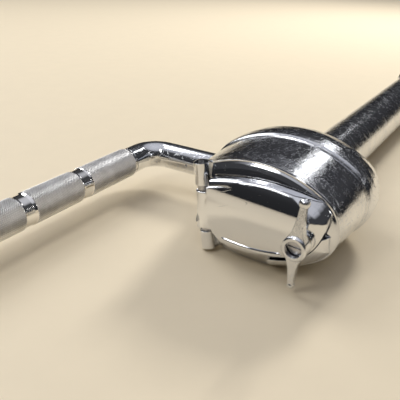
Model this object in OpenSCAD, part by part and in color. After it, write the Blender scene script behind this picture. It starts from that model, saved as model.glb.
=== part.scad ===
// Crank-type torque wrench. The cranked grip winds about the tube; a torsion tube inside
// the long tube twists under load and a pointer under the hinged cover shows the twist.
// Millimetres. +X along the tube to the square drive, +Y towards the crank, +Z up. The
// modules measure from the tube axis at the front rim of the case; placed() then moves
// the origin to the flat under the case on which the wrench lies.

/* [Case] */
// half width of the case at the front rim
case_hw = 40; // [39.5:0.1:40.5]
// half height of the case at the front rim
case_hh = 24.5; // [24.2:0.1:24.8]
// radius of the narrow ends of the oval section
case_end_r = 17.5; // [17:0.1:18]
// height of the case centre above the tube axis
case_up = 5.5; // [5.3:0.1:5.7]
// where the seam between the case and the rear casting lies
seam_x = 34.2; // [34:0.1:34.6]
// level of the flat the wrench rests on
rest_z = -19.5; // [-19.7:0.1:-19.3]
// radius of the bore that holds the dial
dial_bore_r = 19.5; // [19.4:0.1:19.7]

/* [Cover and hinge] */
// radius of the barrel-shaped cover
barrel_r = 45; // [44.5:0.5:46]
// how far the cover bulges out in front of the rim
bulge = 13; // [12.9:0.1:13.2]
// tilt of the barrel axis, down towards the latch
barrel_tilt = 4; // [3.5:0.5:4.5]
// distance of the hinge pin in front of the rim
hinge_x = -3.5; // [-3.6:0.1:-3.4]
// sideways place of the hinge pin at the middle of the case
hinge_y = 25.2; // [25.1:0.1:25.4]
// lean of the hinge pin towards the crank
hinge_lean = 8.5; // [8:0.5:9]
// radius of the hinge knuckles
knuckle_r = 3.7; // [3.6:0.1:3.8]
// radius of the hinge pin
hinge_pin_r = 1.25; // [1.2:0.05:1.3]

/* [Latch] */
// sideways place of the latch spindle
latch_y = -28.2; // [-28.4:0.1:-28]
// half length of the two-armed lever
lever_half = 20.6; // [19:0.1:21]
// radius of the lever hub
lever_hub_r = 5.6; // [5.4:0.1:5.8]
// lean of the lever out of the vertical
lever_lean = 3; // [2:0.5:4]

/* [Crank and grip] */
// radius of the crank rod
rod_r = 7.8; // [7.6:0.1:7.8]
// where the crank rod leaves the case
crank_x = 50.8; // [50.6:0.1:51]
// throw of the crank, tube axis to grip axis
grip_y = 97; // [94:0.5:99]
// radius over the knurling
grip_r = 8.6; // [8.4:0.1:8.8]
// front of the knurling
grip_front = 26.8; // [26:0.1:27]
// distance between the smooth bands of the grip
band_pitch = 39.2; // [38.8:0.1:39.4]
// width of the smooth bands
band_w = 6; // [5.5:0.1:6.5]

/* [Tube and drive] */
// outer radius of the long tube
tube_r = 15.6; // [15.5:0.05:15.6]
// wall of the long tube
tube_wall = 2.4; // [2.2:0.1:2.6]
// far end of the tube
tube_end = 363; // [355:1:375]
// side of the square drive
drive_sq = 12.7; // [12.6:0.05:12.7]
// length of the square drive
drive_len = 16; // [15:0.5:17]

/* [Hidden] */
$fn = 64;
end_c = case_hw - case_end_r;
big_k = (end_c * end_c - pow(case_hh - case_end_r, 2)) / (2 * (case_hh - case_end_r));
big_r = case_hh + big_k;
memory_rest = 16;
knuckles = [[9.4, 20.2], [-23.6, -14.3]];
// x and step of the two domes: the low one shapes the frame, the full one the cover
low_dome = [[-14, -13], [-13, -10.5], [-11.5, -7.6], [-9, -4.4], [-6.5, -2.4], [-4, -1.1],
            [-1.5, -0.3], [-0.8, 0], [0.5, 0]];
full_dome = [[-14, -11], [-13, -8], [-12, -6], [-10, -4], [-7, -2.2], [-4, -1.1], [-1.5, -0.3],
             [-0.8, 0], [0.5, 0]];
chrome = [0.80, 0.81, 0.83];
steel = [0.62, 0.63, 0.66];
dark = [0.25, 0.25, 0.27];
brass = [0.75, 0.60, 0.30];

module placed() translate([-25, 0, -rest_z]) children();
// round solid about a line along X, profile points given as [radius, x]
module spin_x(pts) rotate([0, 90, 0]) rotate_extrude() polygon(pts);
module bar_x(r, x0, x1) translate([x0, 0, 0]) rotate([0, 90, 0]) cylinder(r = r, h = x1 - x0);
module bar_y(r, y0, y1) translate([0, y0, 0]) rotate([-90, 0, 0]) cylinder(r = r, h = y1 - y0);
module bar_z(r, z0, z1) translate([0, 0, z0]) cylinder(r = r, h = z1 - z0);
module ring_x(ro, ri, x0, x1) difference() {
    bar_x(ro, x0, x1);
    bar_x(ri, x0 - 1, x1 + 1);
}
module hex_x(flats, x0, x1) translate([x0, 0, 0]) rotate([0, 90, 0])
    cylinder(r = flats / sqrt(3), h = x1 - x0, $fn = 6);

// oval solid of four arcs; each profile point is [x, outward step from the rim oval]
module oval(profile) {
    n = len(profile);
    x0 = profile[0][0];
    x1 = profile[n - 1][0];
    translate([0, 0, case_up]) {
        for (s = [-1, 1]) translate([0, s * end_c, 0])
            spin_x(concat([[0, x0]], [for (p = profile) [case_end_r - 0.03 + p[1], p[0]]],
                          [[0, x1]]));
        intersection() {
            translate([0, 0, -big_k])
                spin_x(concat([[0, x0]], [for (p = profile) [big_r + p[1], p[0]]], [[0, x1]]));
            translate([0, 0, big_k])
                spin_x(concat([[0, x0]], [for (p = profile) [big_r + p[1], p[0]]], [[0, x1]]));
            sector(x0 - 1, x1 + 1);
        }
    }
}
// wedge between the lines on which the arcs of the oval meet
module sector(x0, x1) {
    w = end_c + 60 * end_c / big_k;
    translate([x0, 0, 0]) rotate([90, 0, 90]) linear_extrude(x1 - x0)
        polygon([[end_c, 0], [w, 60], [-w, 60], [-end_c, 0], [-w, -60], [w, -60]]);
}

// case ------------------------------------------------------------------------------
module case_band() color(chrome) placed() difference() {
    oval([[0.8, -0.6], [2.2, 0], [12, 1.1], [24, 1.9], [33, 2.3], [seam_x, 1.6]]);
    translate([-5, -60, rest_z - 20]) cube([60, 120, 20]);
    left_side();
    translate([0, 0, case_up]) {
        bar_x(dial_bore_r, 0, 7.8);
        bar_x(17.4, 7, 36);
        bar_x(19.6, 30.8, 36);
        translate([0, latch_y, 0]) bar_x(7.2, 0, 9);
        for (s = [-1, 1]) translate([0, s * 17.9, 0]) bar_x(0.75, 6, 12);
    }
    screw_places() bar_x(1.6, 0, 36);
}
module screw_places() for (y = [-24, 24], z = [-15, 15]) translate([0, y, case_up + z])
    children();

// the frame that carries the cover: two hinge lugs at the left, a filled corner at the
// lower right, and a thin plate with the dial opening behind the cover
module front_frame() color(chrome) placed() difference() {
    union() {
        frame_plate();
        for (z = knuckles) hinge_frame() difference() {
            union() {
                bar_z(knuckle_r, z[0], z[1]);
                translate([0, -knuckle_r, z[0]])
                    cube([0.8 - hinge_x, 2 * knuckle_r, z[1] - z[0]]);
            }
            translate([-hinge_x - 2.2, -10, -12.7]) cube([5, 20, 19.4]);
        }
    }
    hinge_frame() {
        bar_z(hinge_pin_r, -30, 30);
        bar_z(2.8, -14.3, -12.6);
        bar_z(2.8, 6.7, 9.4);
    }
    screw_places() bar_x(1.25, -0.7, 2);
}
module frame_plate() difference() {
    union() {
        oval([[-4.2, -9], [-3.6, -6], [-2.6, -3], [-1.6, -1.1], [-0.8, -0.1],
              [-0.75, 0.6], [0.7, 0.6], [0.8, 0]]);
        intersection() {
            barrel(barrel_r);
            cover_plan();
            oval(low_dome);
            translate([-30, -60, -60]) cube([30.5, 48, 60 + case_up]);
        }
    }
    strap_outline(-31, -1, 0.35);
    hinge_frame() {
        translate([-20, -13, -12.7]) cube([20 - hinge_x - 1, 20, 19.4]);
        bar_z(knuckle_r + 0.4, -12.7, 6.7);
        for (z = [-40, 6]) translate([-20, -5, z]) cube([20 - hinge_x - 0.8, 20, 28]);
    }
    left_side();
    translate([0, 0, case_up]) bar_x(14.4, -6, 2);
    translate([-6, latch_y - 3.1, case_up - 6.9]) cube([9, 6, 13.8]);
}
// frame with its origin on the hinge pin, level with the middle of the case
module hinge_frame() translate([hinge_x, hinge_y, case_up]) rotate([-hinge_lean, 0, 0])
    children();
// the flattened side of the case behind the hinge
module left_side() translate([0, 31.2, -60]) rotate([0, 0, 14]) translate([-30, 0, 0])
    cube([120, 60, 120]);
// round solid whose lying axis gives the cover its barrel shape
module barrel(r) translate([barrel_r - bulge, 0, case_up + 0.4]) rotate([barrel_tilt, 0, 0])
    bar_y(r, -60, 60);
// round bar to x1 whose edge is rounded off from x0 inwards
module puck_x(r, x0, x1, e) {
    bar_x(r - e, -14, x1);
    bar_x(r, x0 + e, x1);
    translate([x0 + e, 0, 0]) rotate([0, 90, 0]) rotate_extrude() translate([r - e, 0])
        circle(r = e);
}
// the strap shape of the cover: two long arcs, a round end at the latch and one at the
// hinge; with rounded front edges, or straight through and wider by a gap
module strap() translate([0, 0, case_up]) intersection() {
    translate([0, -5, 18.5 - 90]) puck_x(90, -10.9, -1.3, 3);
    translate([0, 1, 53.2]) puck_x(70, -10.9, -1.3, 3);
    union() {
        translate([0, -12, 8.5]) puck_x(24.3, -13.2, -1.3, 3);
        translate([-14, -14, -60]) cube([12.7, 80, 120]);
    }
    union() {
        translate([0, -6, 3.5]) puck_x(26, -13.2, -1.3, 1.2);
        translate([-14, -60, -60]) cube([12.7, 55, 120]);
        translate([-14, -14, 3.5]) cube([12.7, 34, 60]);
    }
}
module strap_outline(x0, x1, gap) translate([0, 0, case_up]) intersection() {
    translate([0, -5, 18.5 - 90]) bar_x(90 + gap, x0, x1);
    translate([0, 1, 53.2]) bar_x(70 + gap, x0, x1);
    union() {
        translate([0, -12, 8.5]) bar_x(24.3 + gap, x0, x1);
        translate([x0, -14, -60]) cube([x1 - x0, 80, 120]);
    }
    union() {
        translate([0, -6, 3.5]) bar_x(26 + gap, x0, x1);
        translate([x0, -60, -60]) cube([x1 - x0, 55, 120]);
        translate([x0, -14, 3.5]) cube([x1 - x0, 34 + gap, 60]);
    }
}

module seal_ring() color(dark) placed() translate([0, 0, case_up])
    ring_x(19.4, 17.6, 30.9, 31.6);

module rear_casting() color(chrome) placed() difference() {
    union() {
        oval([[seam_x, 2.0], [seam_x + 0.5, 2.8], [seam_x + 1.6, 2.8], [seam_x + 2.2, 3.4],
              [39, 3.8], [44, 4.0], [50, 3.6], [56, 2.2], [61, -0.3], [65, -4.1], [68, -8.6]]);
        translate([0, 0, case_up]) bar_x(19.3, 31.7, 36);
        spin_x([[0, 60], [19, 60], [19.6, 66], [19.2, 76], [18.6, 83], [17.8, 84], [0, 84]]);
        translate([crank_x, 0, 0]) bar_y(11, 36, 46);
    }
    translate([20, -60, rest_z - 20]) cube([80, 120, 20]);
    bar_x(12.5, 30, 44);
    bar_x(5.5, 40, 70);
    hex_x(20, 57, 63);
    bar_x(tube_r, 62, 90);
    translate([crank_x, 0, 0]) bar_y(rod_r, 27, 60);
    translate([crank_x, 37, 0]) bar_z(2.5, -30, -5);
    translate([76, 0, 0]) bar_z(1.6, -25, 25);
    screw_places() {
        bar_x(1.6, 30, 80);
        bar_x(3.1, 58, 80);
    }
}
module case_screws() color(steel) placed() screw_places() difference() {
    union() {
        bar_x(1.25, -0.7, 1);
        bar_x(1.5, 1, 58);
        bar_x(2.9, 58, 61);
    }
    hex_x(2.5, 59.2, 62);
}

// cover and its hinge -----------------------------------------------------------------
module cover() color(chrome) placed() difference() {
    union() {
        intersection() {
            strap();
            barrel(barrel_r);
            cover_plan();
            oval(full_dome);
        }
        translate([0, latch_y, case_up]) bar_x(5.4, -14.05, -8);
        hinge_frame() {
            bar_z(knuckle_r, -12.3, 6.4);
            translate([-knuckle_r, -12, -12.3]) cube([knuckle_r - hinge_x - 1.3, 12, 18.7]);
        }
    }
    intersection() {
        barrel(barrel_r - 2.2);
        translate([-30, -18, -60]) cube([60, 32, 120]);
        strap_outline(-30, 10, -2.2);
    }
    translate([0, latch_y, case_up]) bar_x(3.05, -30, 5);
    hinge_frame() bar_z(hinge_pin_r + 0.05, -30, 40);
}
// outline of the cover seen from above: square at the hinge, round at the latch end
module cover_plan() translate([0, 0, -40]) {
    translate([-30, -25.2, 0]) cube([30.5, 60, 80]);
    translate([-0.8, -25.2, 0]) cylinder(r = 12.3, h = 80);
}
module hinge_pin() color(steel) placed() hinge_frame() bar_z(hinge_pin_r, -24, 20.7);

module hinge_washers() color(steel) placed() hinge_frame() for (z = [[6.7, 9.4], [-14.3, -12.6]])
    difference() {
        bar_z(2.8, z[0], z[1]);
        bar_z(hinge_pin_r + 0.05, z[0] - 1, z[1] + 1);
    }

// latch -------------------------------------------------------------------------------
module latch_frame() translate([0, latch_y, case_up]) rotate([lever_lean, 0, 0]) children();
module latch_lever() color(chrome) placed() latch_frame() difference() {
    union() {
        spin_x([[0, -22.5], [lever_hub_r - 0.6, -22.5], [lever_hub_r, -21.9],
                [lever_hub_r, -16.5], [lever_hub_r - 1.2, -14.6], [0, -14.6]]);
        intersection() {
            translate([-30, 0, 0]) rotate([90, 0, 90]) linear_extrude(30)
                polygon([for (s = [1, -1], p = [[-5.2, 2], [-2.8, 6.2], [-1.85, 10.5], [-1.45, 15],
                        [-1.3, lever_half], [1.3, lever_half], [1.45, 15], [1.85, 10.5],
                        [2.8, 6.2], [5.2, 2]]) [s * p[0], s * p[1]]]);
            translate([0, 10, 0]) rotate([90, 0, 0]) linear_extrude(20)
                polygon([[-21.4, -4], [-21.4, 4], [-18.2, lever_half], [-15.9, lever_half],
                         [-17.2, 4], [-17.2, -4], [-15.9, -lever_half], [-18.2, -lever_half]]);
        }
        translate([-17.6, 0, lever_half - 1.1]) sphere(r = 2.4);
        translate([-17.1, 0, 0.4 - lever_half]) sphere(r = 1.75);
    }
    bar_x(3.75, -23, -17.8);
    bar_x(3, -23, -14);
}
module latch_spindle() color(steel) placed() latch_frame() difference() {
    union() {
        bar_x(3, -17.8, -2.5);
        bar_x(2, -2.5, 1.9);
    }
    bar_x(1.3, -20, -10.9);
}
module latch_finger() color(steel) placed() latch_frame() difference() {
    intersection() {
        translate([1.9, -2, -6]) cube([2.9, 4, 12]);
        bar_x(6, 1, 6);
    }
    bar_x(1.1, 3, 6);
}
module latch_screw() color(steel) placed() latch_frame() difference() {
    union() {
        bar_x(3.2, -19.8, -17.8);
        bar_x(1.3, -17.8, -11);
    }
    translate([-20.4, -4, -0.4]) cube([1.3, 8, 0.8]);
}
module latch_washer() color(brass) placed() translate([0, latch_y, case_up]) ring_x(4.2, 3.1, -14.6, -14.35);

// dial --------------------------------------------------------------------------------
module dial_plate() color([0.93, 0.93, 0.90]) placed() translate([0, 0, case_up]) difference() {
    bar_x(19.2, 6.6, 7.8);
    translate([0, 0, -case_up]) bar_x(3.2, 5, 9);
    for (s = [-1, 1]) translate([0, s * 17.9, 0]) bar_x(0.75, 6, 12);
}
module dial_screws() color(steel) placed() translate([0, 0, case_up]) for (s = [-1, 1])
    translate([0, s * 17.9, 0]) {
        bar_x(0.75, 6.5, 11);
        bar_x(1.2, 5.95, 6.6);
    }
module spacer_ring() color(dark) placed() translate([0, 0, case_up]) ring_x(19.3, 17.0, 2.9, 5.9);
module crystal() color([0.85, 0.92, 0.95, 0.35]) placed() translate([0, 0, case_up]) difference() {
    bar_x(19.3, 0.9, 2.9);
    translate([0, 0, -case_up]) bar_x(1.6, 0, 4);
}
module pointer() color([0.75, 0.10, 0.08]) placed() difference() {
    union() {
        bar_x(2.6, 4.6, 6.2);
        translate([4.9, 0, 0]) rotate([90, 0, 90]) linear_extrude(0.5)
            polygon([[-1.3, -6], [1.3, -6], [1.1, 0], [0.25, 17], [-0.25, 17], [-1.1, 0]]);
    }
    bar_x(2.0, 4, 7);
}
module indicator_rod() color(steel) placed() {
    bar_x(2.0, 4.6, 20);
    bar_x(2.4, 20, tube_end + 20);
}
module memory_pointer() color([0.15, 0.15, 0.16]) placed() {
    difference() {
        bar_x(2.6, 3.3, 4.1);
        bar_x(1.55, 3, 5);
    }
    rotate([memory_rest, 0, 0]) translate([3.4, 0, 0]) rotate([90, 0, 90]) linear_extrude(0.5)
        polygon([[-0.9, 2.2], [0.9, 2.2], [0.25, 16.5], [-0.25, 16.5]]);
}
module reset_knob() color(brass) placed() {
    bar_x(1.55, -2.2, 4.1);
    spin_x([[0, -4.6], [2.9, -4.6], [3.3, -4.2], [3.3, -0.9], [2.9, -0.5], [1.5, -0.5],
            [1.5, 0], [0, 0]]);
}

// tube, torsion tube and drive ----------------------------------------------------------
module torsion_tube() color(steel) placed() difference() {
    union() {
        bar_x(5.5, 37.5, tube_end + 16);
        hex_x(20, 57, 61.5);
    }
    bar_x(3.0, 30, tube_end + 30);
}
module anchor_nut() color(steel) placed() difference() {
    hex_x(17, 39, 44);
    bar_x(5.5, 30, 50);
}
module long_tube() color(chrome) placed() difference() {
    bar_x(tube_r, 63, tube_end);
    bar_x(tube_r - tube_wall, 60, tube_end + 5);
    translate([76, 0, 0]) bar_z(1.6, -25, 25);
    translate([tube_end - 9, 0, 0]) bar_z(1.5, -25, 25);
}
module tube_pin() color(steel) placed() translate([76, 0, 0])
    for (s = [-1, 1]) rotate([s < 0 ? 180 : 0, 0, 0]) bar_z(1.6, 13.4, 18.8);
// the head and everything in it is measured from the end of the tube
module head_frame() translate([tube_end, 0, 0]) children();
module drive_head() color(chrome) placed() head_frame() difference() {
    spin_x([[0, -18], [16.8, -18], [17.6, -17], [19.5, -13], [19.5, 16], [18.9, 18],
            [17.5, 20], [17.5, 22], [0, 22]]);
    bar_x(tube_r, -26, 0);
    bar_x(12.5, -6, 24);
    bar_x(14.5, 19, 24);
    translate([-9, 0, 0]) bar_z(1.5, -25, 25);
}
module head_screws() color(steel) placed() head_frame() translate([-9, 0, 0])
    for (s = [-1, 1]) rotate([s < 0 ? 180 : 0, 0, 0]) bar_z(1.5, 13.4, 19.0);
module drive_bush() color(brass) placed() head_frame() ring_x(12.5, 10.05, 1, 19);
module head_cover() color(chrome) placed() head_frame() difference() {
    spin_x([[0, 19], [14.5, 19], [14.5, 22], [14, 22.6], [0, 22.6]]);
    bar_x(9.3, 14, 24);
}
module drive_shaft() color(steel) placed() head_frame() difference() {
    union() {
        spin_x([[0, 0], [9.6, 0], [10, 0.4], [10, 18.7], [9, 18.7], [9, 25], [0, 25]]);
        intersection() {
            translate([24, -drive_sq / 2, -drive_sq / 2])
                cube([1 + drive_len, drive_sq, drive_sq]);
            spin_x([[0, 23], [9, 23], [9, 23 + drive_len], [7.4, 25 + drive_len],
                    [0, 25 + drive_len]]);
        }
    }
    bar_x(5.56, -6, 17);
    bar_x(2.4, -6, 20);
    translate([33.5, 0, 0]) bar_z(2.45, 0.5, 12);
}
module detent_ball() color(steel) placed() head_frame() translate([33.5, 0, 4.9])
    sphere(r = 2.4);
module detent_spring() color(dark) placed() head_frame() translate([33.5, 0, 0]) difference() {
    bar_z(1.9, 0.5, 2.6);
    bar_z(1.1, 0, 3);
}

// crank and grip ------------------------------------------------------------------------
module crank_arm() color(chrome) placed() difference() {
    union() {
        translate([crank_x, 0, 0]) bar_y(rod_r, 27, grip_y - 13);
        translate([crank_x - 13, grip_y - 13, 0]) rotate_extrude(angle = 90)
            translate([13, 0]) circle(r = rod_r);
        translate([0, grip_y, 0]) {
            bar_x(rod_r, 27.6, crank_x - 13);
            spin_x([[0, -134], [3.6, -134], [4, -133.4], [4, -128.9], [5, -128.9], [5, 27.6],
                    [0, 27.6]]);
        }
    }
    translate([crank_x, 66, 0]) rotate([0, -90, 0]) translate([0, 0, rod_r - 1.5])
        cylinder(r = 0.75, h = 4);
    translate([crank_x, 37, 0]) bar_z(2.5, -10, -5);
}
module rod_set_screw() color(steel) placed() translate([crank_x, 37, 0]) difference() {
    bar_z(2.5, -14, -5);
    bar_z(1.25, -15, -11, $fn = 6);
}
// the knurled sleeve, with smooth bands a little below the knurling
function band_at(i) = grip_front - 2.3 - (i + 1) * band_pitch;
module grip_sleeve() color(steel) placed() translate([0, grip_y, 0]) {
    difference() {
        union() {
            for (i = [0:3]) {
                a = (i == 0 ? grip_front : band_at(i - 1) - band_w / 2);
                b = (i == 3 ? -128 : band_at(i) + band_w / 2);
                spin_x([[0, b], [grip_r - 0.8, b], [grip_r, b + 0.8], [grip_r, a - 1.2],
                        [grip_r - 0.5, a - 0.4], [grip_r - 1.2, a], [0, a]]);
            }
            bar_x(grip_r - 0.6, -120, 20);
        }
        bar_x(6.2, -140, 40);
    }
}
module grip_bushes() color(brass) placed() translate([0, grip_y, 0]) {
    ring_x(6.2, 5.05, 12.8, 26.8);
    ring_x(6.2, 5.05, -128, -114);
}
module grip_washer() color(steel) placed() translate([0, grip_y, 0]) ring_x(7.4, 4, -129.9, -128.9);
module grip_nut() color(chrome) placed() translate([0, grip_y, 0]) difference() {
    spin_x([[0, -138.5], [3.5, -138.5], [6.2, -137], [7.6, -134.4], [8, -131.5], [8, -130.6],
            [7.6, -129.9], [0, -129.9]]);
    bar_x(4, -134, -129);
}

case_band();
front_frame();
rear_casting();
case_screws();
seal_ring();
cover();
hinge_pin();
hinge_washers();
latch_lever();
latch_spindle();
latch_finger();
latch_screw();
latch_washer();
dial_plate();
dial_screws();
spacer_ring();
crystal();
pointer();
indicator_rod();
memory_pointer();
reset_knob();
torsion_tube();
anchor_nut();
long_tube();
tube_pin();
drive_head();
drive_bush();
drive_shaft();
head_cover();
head_screws();
detent_ball();
detent_spring();
crank_arm();
rod_set_screw();
grip_sleeve();
grip_bushes();
grip_washer();
grip_nut();
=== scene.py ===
import bpy
import bmesh
import math
from mathutils import Matrix, Vector


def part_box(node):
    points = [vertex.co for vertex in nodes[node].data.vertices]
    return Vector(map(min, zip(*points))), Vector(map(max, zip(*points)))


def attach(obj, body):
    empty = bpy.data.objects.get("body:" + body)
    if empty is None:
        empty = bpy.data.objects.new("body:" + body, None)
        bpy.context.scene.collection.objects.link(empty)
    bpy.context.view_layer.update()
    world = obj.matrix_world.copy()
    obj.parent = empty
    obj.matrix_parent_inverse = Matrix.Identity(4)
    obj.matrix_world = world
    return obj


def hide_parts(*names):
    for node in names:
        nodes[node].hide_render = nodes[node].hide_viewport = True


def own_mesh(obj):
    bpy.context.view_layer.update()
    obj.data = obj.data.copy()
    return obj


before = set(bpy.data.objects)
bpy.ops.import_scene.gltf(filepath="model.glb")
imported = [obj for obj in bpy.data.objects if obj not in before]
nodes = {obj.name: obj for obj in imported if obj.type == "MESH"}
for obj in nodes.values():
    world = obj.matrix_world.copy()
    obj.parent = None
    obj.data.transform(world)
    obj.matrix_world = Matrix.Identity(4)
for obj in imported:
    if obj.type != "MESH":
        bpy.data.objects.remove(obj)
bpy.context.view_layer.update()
print("frame loaded:", len(nodes), "parts")


class Sock:  # wraps a node socket, so that node maths reads as Python
    def __init__(self, sheet, socket):
        self.sheet, self.socket = sheet, socket

    def calc(self, operation, a, b=None, clamp=False):
        inputs = {0: a} if b is None else {0: a, 1: b}
        settings = {"operation": operation, "use_clamp": clamp}
        return self.sheet.node("ShaderNodeMath", settings, inputs)

    def __add__(self, other):
        return self.calc("ADD", self, other)

    def __radd__(self, other):
        return self.calc("ADD", other, self)

    def __sub__(self, other):
        return self.calc("SUBTRACT", self, other)

    def __rsub__(self, other):
        return self.calc("SUBTRACT", other, self)

    def __mul__(self, other):
        return self.calc("MULTIPLY", self, other)

    def __rmul__(self, other):
        return self.calc("MULTIPLY", other, self)

    def __truediv__(self, other):
        return self.calc("DIVIDE", self, other)

    def __abs__(self):
        return self.calc("ABSOLUTE", self)

    def band(self, low, high):  # 0 below low, 1 above high, straight between
        return self.calc("DIVIDE", self - low, high - low, clamp=True)

    def most(self, other):
        return self.calc("MAXIMUM", self, other)

    def least(self, other):
        return self.calc("MINIMUM", self, other)


class NodeSheet:  # adds nodes to a tree: settings first, then values or links
    def __init__(self, tree):
        self.tree = tree

    def node(self, kind, settings, inputs, out=0):
        made = self.tree.nodes.new(kind)
        for key, value in settings.items():
            if key == "stops":
                self.fillRamp(made.color_ramp, value)
            else:
                setattr(made, key, value)
        for key, value in inputs.items():
            self.put(made.inputs[key], value)
        return Sock(self, made.outputs[out]) if made.outputs else None

    def fillRamp(self, ramp, stops):
        while len(ramp.elements) < len(stops):
            ramp.elements.new(0.5)
        for element, (place, tone) in zip(ramp.elements, stops):
            element.position, element.color = place, tone

    def put(self, socket, value):
        if isinstance(value, Sock):
            self.tree.links.new(value.socket, socket)
        else:
            socket.default_value = value


# hairlines come where a stretched noise crosses its middle, and only inside scattered patches
scratchLook = {"hair": 0.03, "patches": (60, 240, 240), "fade": 0.05}


class Paint(NodeSheet):  # a material whose sockets are filled by wet
    def __init__(self, name):
        self.material = bpy.data.materials.new(name)
        self.material.use_nodes = True
        super().__init__(self.material.node_tree)
        self.tree.nodes.clear()
        self.shader = self.tree.nodes.new("ShaderNodeBsdfPrincipled")
        self.node("ShaderNodeOutputMaterial", {}, {0: Sock(self, self.shader.outputs[0])})
        self.place = self.node("ShaderNodeTexCoord", {}, {}, "Object")

    def turned(self, angles, scale):  # object coordinates, turned and then stretched
        first = self.node("ShaderNodeMapping", {}, {"Vector": self.place, "Rotation": angles})
        return self.node("ShaderNodeMapping", {}, {"Vector": first, "Scale": scale})

    def noise(self, where, scale, detail=3.0, rough=0.55):
        return self.node("ShaderNodeTexNoise", {},
                         {"Vector": where, "Scale": scale, "Detail": detail, "Roughness": rough})

    def mix(self, share, a, b):
        return self.node("ShaderNodeMix", {"data_type": "RGBA"}, {0: share, 6: a, 7: b}, 2)

    def carried(self, name):  # an attribute that the mesh carries
        return self.node("ShaderNodeAttribute", {"attribute_name": name}, {}, "Fac")

    def bump(self, height, distance, strength=1.0, edge=0.0):  # edge: how far corners look rounded
        inputs = {"Height": height, "Distance": distance, "Strength": strength}
        if edge:
            inputs["Normal"] = self.node("ShaderNodeBevel", {"samples": 6}, {"Radius": edge})
        return self.node("ShaderNodeBump", {}, inputs)

    def scratches(self, angles, length, width, shown):  # sparse straight hairlines along local X
        where = self.turned(angles, (1 / length, 1 / width, 1 / width))
        line = 1 - abs(self.noise(where, 1.0, 0.0) - 0.5).band(0.0, scratchLook["hair"])
        patch = self.noise(self.turned(angles, scratchLook["patches"]), 1.0, 1.0)
        return line * patch.band(1 - shown, 1 - shown + scratchLook["fade"])

    def wet(self, **sockets):  # Base_Color stands for the socket Base Color
        for key, value in sockets.items():
            self.put(self.shader.inputs[key.replace("_", " ")], value)
        return self.material


# two sets of scratches that cross the first: how they lie, length, width, how much rarer they are
crossings = (((1.1, 0.7, 1.9), 0.07, 0.0011, 0.03),
             ((0.2, 1.3, 2.6), 0.08, 0.0017, 0.05))


def chromeFinish(name, look):
    p = Paint(name)
    bright, dull = look["bright"] + (1,), look["dull"] + (1,)
    lines = p.scratches(look["lay"], 0.09, 0.0014, look["scratched"])
    for lay, length, width, rarer in crossings:
        lines = lines.most(p.scratches(lay, length, width, look["scratched"] - rarer))
    haze = p.noise(p.turned((0.2, 0.1, 0.4), look["hazeGrain"]), 1.0, 8.0, 0.80)
    haze = haze.band(0.44, 0.68) * look["haze"]
    specks = p.noise(p.turned((0.4, 0.3, 0.2), look["speckGrain"]), 1.0, 4.0, 0.7)
    cells = p.node("ShaderNodeTexVoronoi", {"feature": "F1"},
                   {"Vector": p.place, "Scale": look["pitGrain"]})
    crowded = p.noise(p.place, 110.0).band(0.55, 0.68)  # the patches where pits gather
    pits = (1 - cells.band(0.05, 0.16)) * crowded * look["pitted"]
    tarnish = p.noise(p.place, 45.0, 6.0, 0.7).band(0.45, 0.8) * look["tarnish"]
    # the dull tone darkens real tarnish, pits and scratches; its bluish tint is a painted
    # reflection of a bluish surround
    tone = p.mix(tarnish, bright, dull)
    tone = p.mix((pits + lines * 0.25).least(1.0), tone, dull)
    clouded = haze * (0.10 + specks.band(0.45, 0.6) * 0.22)
    rough = look["polish"] + clouded + lines * 0.30 + pits * 0.4
    waves = p.noise(p.place, 38.0, 1.0, 0.4) * look["wavy"]
    height = waves - lines * 0.03 - pits * 0.08 + (haze * 0.16 + look["grit"]) * specks
    return p.wet(Base_Color=tone, Metallic=1.0, Roughness=rough.least(0.7),
                 Normal=p.bump(height, 0.001, 0.5, look["edge"]))


# what the case wears; the other chromed parts say only where they differ
# the dull tone's bluish tint is a painted reflection colour
caseLook = {"bright": (0.80, 0.81, 0.83), "dull": (0.38, 0.40, 0.47), "polish": 0.07,
            "scratched": 0.49, "haze": 0.60, "pitted": 0.8, "tarnish": 0.5, "wavy": 0.02,
            "edge": 0.0004, "grit": 0.03,
            "lay": (0.3, 0.2, 0.5), "hazeGrain": (130, 340, 340), "speckGrain": (500, 1100, 1100),
            "pitGrain": 900.0}
chromes = {
    "caseChrome": {},
    "coverChrome": {"scratched": 0.33, "haze": 0.02, "pitted": 0.15, "grit": 0.002, "tarnish": 0.06,
                    "polish": 0.035, "edge": 0.0012, "lay": (0.3, 0.2, 1.4)},
    "frameChrome": {"scratched": 0.36, "haze": 0.15, "pitted": 0.3, "grit": 0.01, "tarnish": 0.25,
                    "lay": (0.3, 0.2, 1.4)},
    "leverChrome": {"scratched": 0.42, "haze": 0.5, "grit": 0.01, "tarnish": 0.3, "polish": 0.16},
    "tubeChrome": {"scratched": 0.46, "haze": 0.8, "pitted": 1.0, "polish": 0.11},
    "rodChrome": {"scratched": 0.44, "haze": 0.2, "pitted": 0.4, "grit": 0.01},
}


def flatFinish(name, look):
    p = Paint(name)
    grain = p.noise(p.turned((0, 0, 0), look["stretch"]), look["scale"], 4.0, 0.6)
    spots = p.noise(p.place, look["scale"] * 0.13, 4.0, 0.6).band(0.45, 0.75)
    tone = p.mix(spots * 0.4 + grain * 0.15, look["tone"] + (1,), look["worn"] + (1,))
    return p.wet(Base_Color=tone, Metallic=look["metal"],
                 Roughness=look["rough"] + (grain - 0.5) * 0.2 + spots * 0.06,
                 Normal=p.bump(grain, 0.00004, 0.6))


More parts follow.
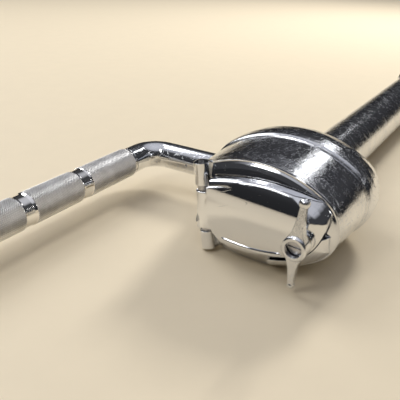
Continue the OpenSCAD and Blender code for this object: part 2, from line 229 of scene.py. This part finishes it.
flats = {
    "groundSteel": {"tone": (0.55, 0.55, 0.57), "worn": (0.36, 0.34, 0.33), "metal": 1.0,
                  "rough": 0.3, "scale": 900.0, "stretch": (0.1, 1, 1)},
    "bronze": {"tone": (0.66, 0.46, 0.22), "worn": (0.40, 0.27, 0.14), "metal": 1.0,
             "rough": 0.34, "scale": 800.0, "stretch": (0.2, 1, 1)},
    "dialEnamel": {"tone": (0.86, 0.85, 0.80), "worn": (0.74, 0.71, 0.62), "metal": 0.0,
                 "rough": 0.45, "scale": 500.0, "stretch": (1, 1, 1)},
    "redPaint": {"tone": (0.60, 0.05, 0.04), "worn": (0.42, 0.04, 0.03), "metal": 0.0,
               "rough": 0.35, "scale": 900.0, "stretch": (1, 1, 1)},
    "blackPaint": {"tone": (0.03, 0.03, 0.035), "worn": (0.07, 0.07, 0.07), "metal": 0.0,
                 "rough": 0.4, "scale": 900.0, "stretch": (1, 1, 1)},
    "sealRubber": {"tone": (0.03, 0.03, 0.03), "worn": (0.08, 0.08, 0.08), "metal": 0.0,
                 "rough": 0.65, "scale": 1200.0, "stretch": (1, 1, 1)},
}


def knurlFinish(name, look):  # the grip's own attributes say what is knurled and what lies deep
    p = Paint(name)
    knurled, deep = p.carried("knurled").band(0.3, 0.7), p.carried("deep")
    grime = p.noise(p.place, 130.0, 4.0, 0.6).band(0.35, 0.75)
    lines = p.scratches((0.3, 0.2, 0.5), 0.02, 0.0004, 0.55)
    grain = p.noise(p.place, 2600.0, 2.0)
    # painted shade: the knurl's valleys are painted darker as if shaded, and darker still where the
    # grime noise is high
    valleyShadeAndGrime = (deep * (0.35 + grime * 0.5)).least(1.0) * knurled
    tone = p.mix(valleyShadeAndGrime, look["crest"] + (1,), look["valley"] + (1,))
    tone = p.mix(grime * 0.25, tone, look["worn"] + (1,))
    satin = knurled * (look["satin"] + grain * 0.10 - deep * 0.05)
    return p.wet(Base_Color=tone, Metallic=1.0, Roughness=look["polish"] + satin + lines * 0.1,
                 Normal=p.bump(grain * knurled - lines * 0.1, 0.00003, 0.6))


# valley is the painted shade colour of the knurl's valleys
knurlLook = {"crest": (0.96, 0.95, 0.93), "valley": (0.30, 0.29, 0.28), "worn": (0.74, 0.72, 0.68),
             "polish": 0.07, "satin": 0.27}


def crystalFinish(name, look):
    p = Paint(name)
    haze = p.noise(p.place, 180.0, 5.0, 0.65)
    film = haze.band(0.5, 0.8)
    lines = p.scratches((0.1, 0.4, 1.2), 0.02, 0.0003, 0.5)
    return p.wet(Base_Color=p.mix(haze, look["clear"] + (1,), look["film"] + (1,)), IOR=look["ior"],
                 Roughness=look["polish"] + film * 0.06 + lines * 0.2,
                 Alpha=look["cover"] + film * 0.05 + lines * 0.25)


crystalLook = {"clear": (0.90, 0.94, 0.95), "film": (0.80, 0.86, 0.86), "ior": 1.49, "polish": 0.02,
               "cover": 0.10}

finishes = {name: chromeFinish(name, caseLook | changes) for name, changes in chromes.items()}
finishes |= {name: flatFinish(name, look) for name, look in flats.items()}
finishes["clearCrystal"] = crystalFinish("clearCrystal", crystalLook)
finishes["satinKnurl"] = knurlFinish("satinKnurl", knurlLook)
wears = {
    "caseChrome": ["case_band", "rear_casting"],
    "frameChrome": ["front_frame"],
    "coverChrome": ["cover"],
    "leverChrome": ["latch_lever"],
    "tubeChrome": ["long_tube", "drive_head", "head_cover"],
    "rodChrome": ["crank_arm", "grip_nut"],
    "satinKnurl": ["grip_sleeve"],
    "bronze": ["latch_washer", "reset_knob", "drive_bush", "grip_bushes"],
    "dialEnamel": ["dial_plate"],
    "redPaint": ["pointer"],
    "blackPaint": ["memory_pointer"],
    "sealRubber": ["seal_ring", "spacer_ring"],
    "clearCrystal": ["crystal"],
}
named = {part: finish for finish, parts in wears.items() for part in parts}
for part, thing in nodes.items():  # a part that is not named is plain ground steel
    thing.data.materials.clear()
    thing.data.materials.append(finishes[named.get(part, "groundSteel")])
print("finishes put on", len(nodes), "parts")


class Recipe(NodeSheet):  # a geometry tree with named inputs; Finish is the material it ends in
    def __init__(self, name, inputs):
        super().__init__(bpy.data.node_groups.new(name, "GeometryNodeTree"))
        face = self.tree.interface
        for label, kind in inputs.items():
            face.new_socket(label, in_out="INPUT", socket_type="NodeSocket" + kind)
        face.new_socket("Geometry", in_out="OUTPUT", socket_type="NodeSocketGeometry")
        self.start = self.tree.nodes.new("NodeGroupInput")
        self.index = self.node("GeometryNodeInputIndex", {}, {})

    def given(self, label):
        return Sock(self, self.start.outputs[label])

    def joined(self, x, y, z):
        return self.node("ShaderNodeCombineXYZ", {}, {0: x, 1: y, 2: z})

    def served(self, shape):
        solid = self.node("GeometryNodeRealizeInstances", {}, {0: shape})
        coated = self.node("GeometryNodeSetMaterial", {},
                           {"Geometry": solid, "Material": self.given("Finish")})
        self.node("NodeGroupOutput", {}, {0: coated})
        return self.tree


def placed(name, data):
    thing = bpy.data.objects.new(name, data)
    bpy.context.scene.collection.objects.link(thing)
    return thing


def asPiece(name, points, faces, finish, smooth=True):
    mesh = bpy.data.meshes.new(name)
    mesh.from_pydata(points, [], faces)
    mesh.materials.append(finish)
    mesh.polygons.foreach_set("use_smooth", [smooth] * len(mesh.polygons))
    mesh.update()
    return placed(name, mesh)


def asPlain(source, name, finish):  # keeps a plain mesh of what the source shows, and drops it
    graph = bpy.context.evaluated_depsgraph_get()
    mesh = bpy.data.meshes.new_from_object(source.evaluated_get(graph))
    bpy.data.objects.remove(source)
    mesh.name = name
    mesh.materials.clear()
    mesh.materials.append(finish)
    return placed(name, mesh)


def throughTree(blank, tree, values, name, finish):
    step = blank.modifiers.new("step", "NODES")
    step.node_group = tree
    values = values | {"Finish": finish}
    for item in tree.interface.items_tree:
        if item.in_out == "INPUT" and item.name in values:
            step[item.identifier] = values[item.name]
    return asPlain(blank, name, finish)


def ringAround(spot, side, front, sides):
    angles = [2 * math.pi * k / sides for k in range(sides)]
    return [spot + side * math.cos(a) + front * math.sin(a) for a in angles]


def tubePiece(name, rings, finish):  # a closed tube through rings of as many points each
    sides, last = len(rings[0]), len(rings) - 1
    faces = []
    for i in range(last):
        for k in range(sides):
            m = (k + 1) % sides
            faces.append((i * sides + k, i * sides + m, (i + 1) * sides + m, (i + 1) * sides + k))
    faces.append(tuple(range(sides - 1, -1, -1)))
    faces.append(tuple(last * sides + k for k in range(sides)))
    tube = asPiece(name, [spot for ring in rings for spot in ring], faces, finish)
    shape = bmesh.new()
    shape.from_mesh(tube.data)
    bmesh.ops.recalc_face_normals(shape, faces=shape.faces)
    shape.to_mesh(tube.data)
    shape.free()
    return tube


# the knurled grip: rows of points half a knurl apart, every other one sunk by a node tree
gripLook = {"pitch": 0.00115, "depth": 0.00034, "bore": 0.0062, "mouth": 0.0012, "bandHalf": 0.003,
            "bandStep": 0.0006, "shoulder": 0.0006, "shoulderShare": 0.45, "plain": 0.0007,
            "bands": (0.0415, 0.0807, 0.1199), "foot": 0.0012, "heel": 0.0008, "endStep": 0.0007,
            "knurlFrom": 0.0016, "knurlTo": 0.0012}


def gripRows(look, length, radius):  # (distance from the front, radius, how knurled), front to back
    step = look["pitch"] / 2
    rows = []
    for i in range(int(length / step) + 1):
        x = min(i * step, length)
        near = min([abs(x - b) for b in look["bands"]])
        offBand = near > look["bandHalf"] + look["plain"]
        knurled = 1.0 if offBand and look["knurlFrom"] < x < length - look["knurlTo"] else 0.0
        r = radius
        if near < look["bandHalf"]:
            r = radius - look["bandStep"]
        elif near < look["bandHalf"] + look["shoulder"]:
            r = radius - look["bandStep"] * look["shoulderShare"]
        if x < look["foot"] or x > length - look["heel"]:
            r = radius - look["endStep"]
        rows.append((x, r, knurled))
    start = [(0.0, look["bore"], 0.0), (0.0, radius - look["mouth"], 0.0)]
    return start + rows + [(length, look["bore"], 0.0)]


def knurlTree():
    t = Recipe("knurling", {"Geometry": "Geometry", "Depth": "Float", "Columns": "Int",
                            "Finish": "Material"})
    row = t.index.calc("FLOOR", (t.index + 0.5) / t.given("Columns"))
    column = t.index - row * t.given("Columns")
    valley = t.index.calc("MODULO", row + column, 2.0)
    mask = t.node("GeometryNodeInputNamedAttribute", {"data_type": "FLOAT"}, {"Name": "knurled"})
    normal = t.node("GeometryNodeInputNormal", {}, {})
    sunk = t.node("ShaderNodeVectorMath", {"operation": "SCALE"},
                  {0: normal, "Scale": valley * mask * (t.given("Depth") * -1.0)})
    dented = t.node("GeometryNodeSetPosition", {},
                    {"Geometry": t.given("Geometry"), "Offset": sunk})
    kept = t.node("GeometryNodeStoreNamedAttribute", {"data_type": "FLOAT", "domain": "POINT"},
                  {"Geometry": dented, "Name": "deep", "Value": valley * mask})
    # flat facets where it is knurled, or the crests would shade away
    faceted = t.node("GeometryNodeSetShadeSmooth", {},
                     {"Geometry": kept, "Shade Smooth": mask.calc("LESS_THAN", mask, 0.01)})
    return t.served(faceted)


def makeGrip(look):
    low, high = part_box("grip_sleeve")
    middle, radius = (low + high) / 2, (high.z - low.z) / 2
    rows = gripRows(look, high.x - low.x, radius)
    columns = 2 * round(2 * math.pi * radius / look["pitch"])
    angles = [2 * math.pi * c / columns for c in range(columns)]
    points = [(high.x - x, middle.y + r * math.cos(a), middle.z + r * math.sin(a))
              for x, r, _ in rows for a in angles]
    faces = []
    for i in range(len(rows)):
        j = (i + 1) % len(rows)
        for c in range(columns):
            d = (c + 1) % columns
            a, b = i * columns + c, j * columns + c
            e, f = j * columns + d, i * columns + d
            # each square is split between its two valleys
            faces += [(a, b, f), (b, e, f)] if (i + c) % 2 == 0 else [(a, b, e), (a, e, f)]
    blank = asPiece("gripBlank", points, faces, finishes["satinKnurl"])
    mask = blank.data.attributes.new("knurled", "FLOAT", "POINT")
    mask.data.foreach_set("value", [k for _, _, k in rows for _ in range(columns)])
    grip = throughTree(blank, knurlTree(), {"Depth": look["depth"], "Columns": columns},
                       "knurledGrip", finishes["satinKnurl"])
    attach(grip, "grip_body")
    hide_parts("grip_sleeve")
    print("grip:", len(grip.data.polygons), "faces")


makeGrip(gripLook)

# the lifting lip along the cover's lower edge: a bead that lies on the cover wherever that is
lipLook = {"arcY": 0.001, "arcZ": 0.0532, "arc": 0.0672, "from": 0.0120, "to": -0.0195,
           "bead": 0.0015, "tip": 0.00002, "blunt": 14, "sink": 0.0006, "steps": 60, "sides": 14,
           "start": 0.05}


def makeLip(look):
    band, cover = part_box("case_band"), nodes["cover"]
    centre = (band[0] + band[1]) / 2 + Vector((0, look["arcY"], look["arcZ"]))
    inwards = Vector((1, 0, 0))
    path = []
    for i in range(look["steps"] + 1):
        y = look["from"] + (look["to"] - look["from"]) * i / look["steps"]
        z = centre.z - math.sqrt(look["arc"] ** 2 - (y - centre.y) ** 2)
        hit, spot, _, _ = cover.ray_cast(Vector((band[0].x - look["start"], y, z)), inwards)
        if hit:
            path.append(spot + inwards * look["sink"])
    rings = []
    for i, spot in enumerate(path):
        along = (path[min(i + 1, len(path) - 1)] - path[max(i - 1, 0)]).normalized()
        out = along.cross(inwards).normalized()
        front = out.cross(along)
        offMiddle = abs(2 * i / (len(path) - 1) - 1)
        size = look["bead"] * math.sqrt(max(0.0, 1 - offMiddle ** look["blunt"])) + look["tip"]
        rings.append(ringAround(spot, out * size, front * size, look["sides"]))
    lip = tubePiece("coverLip", rings, finishes["coverChrome"])
    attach(lip, "cover_body")
    print("lip:", len(path), "places along the cover")


makeLip(lipLook)

# the coil under the detent ball, in the square drive
springLook = {"wire": 0.00024, "gap": 0.00005, "turns": 3.2, "endTurns": 1.5, "flatShare": 0.16,
              "steps": 110, "sides": 8, "share": 0.60}


def makeSpring(look):
    low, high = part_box("detent_spring")
    middle, wire = (low + high) / 2, look["wire"]
    base = Vector((middle.x, middle.y, low.z + wire))
    reach, rise = (high.x - low.x) / 2 - wire - look["gap"], high.z - low.z - 2 * wire
    rings = []
    for i in range(look["steps"] + 1):
        share = i / look["steps"]
        climb = (share - look["flatShare"]) / (1 - 2 * look["flatShare"])  # flat at each end
        turn = 2 * math.pi * (look["turns"] + look["endTurns"]) * share
        out, up = Vector((math.cos(turn), math.sin(turn), 0)), Vector((0, 0, 1))
        spot = base + out * reach + up * (rise * min(max(climb, 0.0), 1.0))
        rings.append(ringAround(spot, out * wire, up * wire, look["sides"]))
    coil = tubePiece("detentCoil", rings, finishes["groundSteel"])
    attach(coil, "drive_body")
    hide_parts("detent_spring")
    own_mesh(coil)
    print("spring:", len(coil.data.polygons), "faces")


makeSpring(springLook)

# the dial's printing: ticks from a node tree, then plain numbers under their ticks
dialLook = {"inner": 0.0152, "short": 0.0012, "long": 0.0022, "line": 0.00016, "stepDeg": 1.0,
            "each": 4, "spanDeg": 12, "thick": 0.00006, "numberSize": 0.0019, "numberAt": 0.0138,
            "numbers": {-12: "90", 0: "0", 12: "90"}}


def tickTree():
    t = Recipe("ticks", {"Geometry": "Geometry", "Count": "Int", "Step": "Float", "Inner": "Float",
                         "Short": "Float", "Long": "Float", "Line": "Float", "Thick": "Float",
                         "Each": "Int", "Finish": "Material"})
    angle = (t.index - (t.given("Count") - 1.0) / 2.0) * t.given("Step")
    main = t.index.calc("COMPARE", t.index.calc("MODULO", t.index, t.given("Each")), 0.0)
    length = t.given("Short") + main * (t.given("Long") - t.given("Short"))
    reach = t.given("Inner") + length / 2.0
    spots = t.node("GeometryNodeMeshLine", {}, {"Count": t.given("Count")})
    around = t.joined(0.0, reach * angle.calc("SINE", angle), reach * angle.calc("COSINE", angle))
    fan = t.node("GeometryNodeSetPosition", {}, {"Geometry": spots, "Position": around})
    bar = t.node("GeometryNodeMeshCube", {}, {"Size": (1, 1, 1)})
    ticks = t.node("GeometryNodeInstanceOnPoints", {},
                   {"Points": fan, "Instance": bar, "Rotation": t.joined(angle * -1.0, 0.0, 0.0),
                    "Scale": t.joined(t.given("Thick"), t.given("Line"), length)})
    return t.served(ticks)


def makeNumber(name, words, look):
    letters = bpy.data.curves.new("number", "FONT")
    letters.body, letters.size = words, look["numberSize"]
    letters.align_x, letters.align_y = "CENTER", "CENTER"
    letters.extrude = look["thick"] / 2
    return asPlain(placed("number", letters), name, finishes["blackPaint"])


def makeDial(look):
    plate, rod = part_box("dial_plate"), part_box("indicator_rod")
    front, axis = plate[0].x - look["thick"] / 2, (rod[0] + rod[1]) / 2
    shift = Matrix.Translation((front, axis.y, axis.z))
    blank = asPiece("tickBlank", [(0, 0, 0)], [], finishes["blackPaint"])
    count = round(2 * look["spanDeg"] / look["stepDeg"]) + 1
    sizes = {"Count": count, "Step": math.radians(look["stepDeg"]), "Inner": look["inner"],
             "Short": look["short"], "Long": look["long"], "Line": look["line"],
             "Thick": look["thick"], "Each": look["each"]}
    ticks = throughTree(blank, tickTree(), sizes, "dialTicks", finishes["blackPaint"])
    ticks.data.transform(shift)
    # stands the numbers up, to be read from the front, which is -X
    facing = Matrix(((0, 0, -1, 0), (-1, 0, 0, 0), (0, 1, 0, 0), (0, 0, 0, 1)))
    for spot, (degrees, words) in enumerate(look["numbers"].items()):
        number = makeNumber("dialNumber%d" % spot, words, look)
        turn, far = math.radians(degrees), look["numberAt"]
        up = Matrix.Translation((0, far * math.sin(turn), far * math.cos(turn)))
        number.data.transform(shift @ up @ Matrix.Rotation(-turn, 4, "X") @ facing)
        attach(number, "case_body")
    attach(ticks, "case_body")
    print("dial:", count, "ticks and", len(look["numbers"]), "numbers")


makeDial(dialLook)

floorLook = {"tone": (0.86, 0.74, 0.54), "speckShade": 0.95, "rough": 0.6, "halfSize": 3.0}


def makeFloor(look):
    p = Paint("paleFloor")
    speck = p.noise(p.place, 60.0)
    darker = tuple(look["speckShade"] * c for c in look["tone"])
    tone = p.mix(speck, look["tone"] + (1,), darker + (1,))
    finish = p.wet(Base_Color=tone, Roughness=look["rough"])
    h = look["halfSize"]
    corners = [(-h, -h, 0), (h, -h, 0), (h, h, 0), (-h, h, 0)]
    asPiece("floor", corners, [(0, 1, 2, 3)], finish, smooth=False)
    print("floor laid")


makeFloor(floorLook)

lightLooks = {
    "keyLight": {"place": (0.20, 1.20, 1.15), "aim": (0.05, 0.0, 0.0), "size": (0.85, 0.8),
                 "power": 9},
    "windowLight": {"place": (1.5, -0.05, 1.15), "aim": (0.05, 0.0, 0.0), "size": (0.20, 0.40),
                    "power": 1.3},
    "sideLight": {"place": (0.7, -1.1, 0.65), "aim": (0.0, 0.0, 0.0), "size": (0.16, 0.16),
                  "power": 0.6},
    "ceilingLight": {"place": (-1.0, 0.50, 1.15), "aim": (-0.02, 0.0, 0.0), "size": (0.42, 0.55),
                     "power": 4.0},
    # casts the soft shadow in front, and the chrome does not mirror it
    "shadowLight": {"place": (1.2, 0.05, 0.80), "aim": (0.0, 0.0, 0.0), "size": (0.25, 0.25),
                    "power": 11, "mirrored": False},
}


def softLight(name, look):
    lamp = bpy.data.lights.new(name, "AREA")
    lamp.shape, lamp.energy = "RECTANGLE", look["power"]
    lamp.size, lamp.size_y = look["size"]
    thing = placed(name, lamp)
    thing.location = look["place"]
    thing.visible_glossy = look.get("mirrored", True)
    ahead = Vector(look["aim"]) - Vector(look["place"])
    thing.rotation_euler = ahead.to_track_quat("-Z", "Y").to_euler()


for lightName, lightLook in lightLooks.items():
    softLight(lightName, lightLook)

# what the chrome mirrors, from straight below (0) to straight above (1), and the plain pale wall
skyLook = {"levels": [(0.0, 0.55), (0.5, 0.02), (0.60, 0.025), (0.68, 0.05), (0.82, 0.05),
                      (0.88, 0.50), (1.0, 0.7)],
           "tint": (0.97, 0.98, 1.06), "wall": (0.62, 0.57, 0.49)}


def makeSky(look):
    world = bpy.data.worlds.new("studio")
    bpy.context.scene.world = world
    world.use_nodes = True
    world.node_tree.nodes.clear()
    s = NodeSheet(world.node_tree)
    where = s.node("ShaderNodeTexCoord", {}, {}, "Generated")
    height = s.node("ShaderNodeSeparateXYZ", {}, {0: where}, 2)
    level = s.node("ShaderNodeMapRange", {}, {"Value": height, "From Min": -1.0, "From Max": 1.0})
    stops = [(place, tuple(light * t for t in look["tint"]) + (1,))
             for place, light in look["levels"]]
    sky = s.node("ShaderNodeBackground", {},
                 {0: s.node("ShaderNodeValToRGB", {"stops": stops}, {0: level})})
    wall = s.node("ShaderNodeBackground", {}, {0: look["wall"] + (1,)})
    straight = s.node("ShaderNodeLightPath", {}, {}, "Is Camera Ray")
    either = s.node("ShaderNodeMixShader", {}, {0: straight, 1: sky, 2: wall})
    s.node("ShaderNodeOutputWorld", {}, {0: either})


makeSky(skyLook)
print("lights and sky set")

cameraLook = {"place": (-0.23532, -0.09530, 0.13787), "right": (0.52439, -0.85093, 0.03059),
              "down": (-0.34651, -0.24608, -0.90520), "ahead": (0.77778, 0.46408, -0.42389),
              "lens": 49.5, "sensor": 36.0, "near": 0.01, "far": 20.0}


def makeCamera(look):
    lens = bpy.data.cameras.new("camera")
    lens.lens, lens.sensor_width = look["lens"], look["sensor"]
    lens.clip_start, lens.clip_end = look["near"], look["far"]
    thing = placed("camera", lens)
    rows = (look["right"], -Vector(look["down"]), -Vector(look["ahead"]))
    view = Matrix(rows).transposed().to_4x4()
    view.translation = look["place"]
    thing.matrix_world = view
    bpy.context.scene.camera = thing
    print("camera placed")


makeCamera(cameraLook)
bpy.context.scene.view_settings.view_transform = "Standard"
